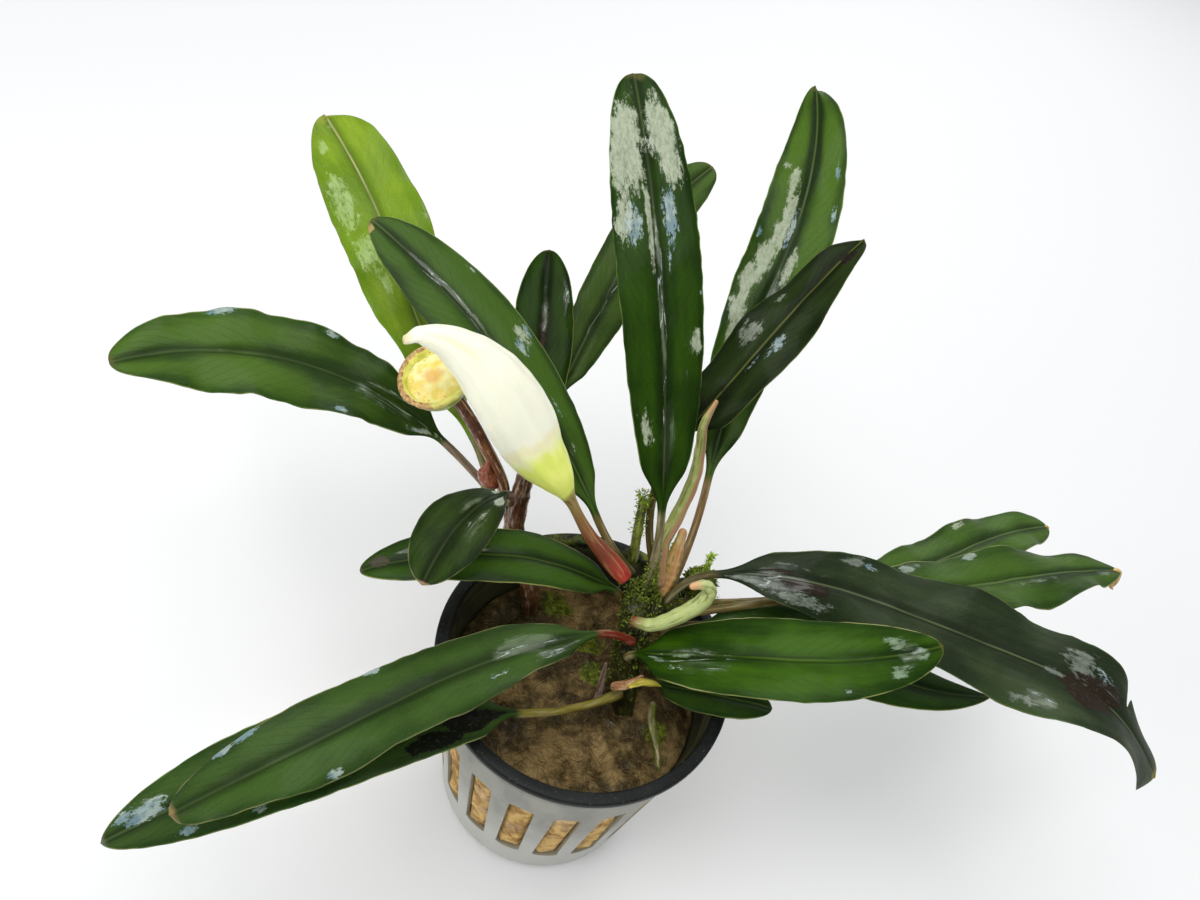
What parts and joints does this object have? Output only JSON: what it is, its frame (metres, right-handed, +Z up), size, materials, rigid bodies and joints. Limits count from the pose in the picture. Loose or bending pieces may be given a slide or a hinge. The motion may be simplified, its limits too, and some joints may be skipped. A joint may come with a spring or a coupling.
{
  "type": "potted water plant",
  "caption": "Aquarium plant with stalked, strap-shaped leaves, a hooded flower and a fruit cup, growing from creeping stems in a slotted net pot of rock wool.",
  "frame": {"origin": "centre of the flat underside of the pot", "axes": "+Z up along the pot's axis, +X to the right and +Y to the back as seen from the pictured side, the plant leaning towards +Y"},
  "size_m": [0.1822, 0.1569, 0.1183],
  "materials": {
    "leaf_green": "wet, glossy mid-green leaf with pale veins",
    "leaf_dark": "wet, near-black green leaf with algae specks",
    "leaf_young": "glossy yellow-green young leaf",
    "stem": "wet brown creeping stem",
    "root": "thin tan root and dried scale",
    "spathe": "waxy cream hood on a red-brown stalk",
    "fruit_cup": "brown-rimmed green cup on a striped stalk",
    "berries": "pale yellow berries with orange middles",
    "moss": "tufted yellow-green moss",
    "rock_wool": "wet, mottled brown mineral fibre",
    "pot_plastic": "satin charcoal moulded plastic"
  },
  "bodies": {
    "root": {"leaf_far_left": "leaf_green", "leaf_behind_spathe": "leaf_green", "leaf_tall_front": "leaf_green", "leaf_right_rear": "leaf_green", "leaf_east_far": "leaf_green", "leaf_east_middle": "leaf_green", "leaf_east_dark": "leaf_green", "leaf_front_right": "leaf_green", "leaf_east_under": "leaf_green", "leaf_front_under": "leaf_green", "leaf_west_upper": "leaf_green", "leaf_west_lower": "leaf_green", "leaf_round": "leaf_green", "leaf_west_small": "leaf_green", "leaf_back_small": "leaf_dark", "leaf_back_long": "leaf_dark", "leaf_right_front": "leaf_dark", "leaf_yellow_green": "leaf_young", "rolled_leaf": "leaf_young", "curled_leaf": "leaf_young", "main_stem": "stem", "second_stem": "stem", "spent_stalk": "stem", "front_root": "root", "dry_scale_front": "root", "dry_scale_side": "root", "spathe": "spathe", "fruit_cup": "fruit_cup", "berries": "berries", "moss_clump": "moss", "rock_wool": "rock_wool", "net_pot": "pot_plastic"}
  },
  "joints": []
}
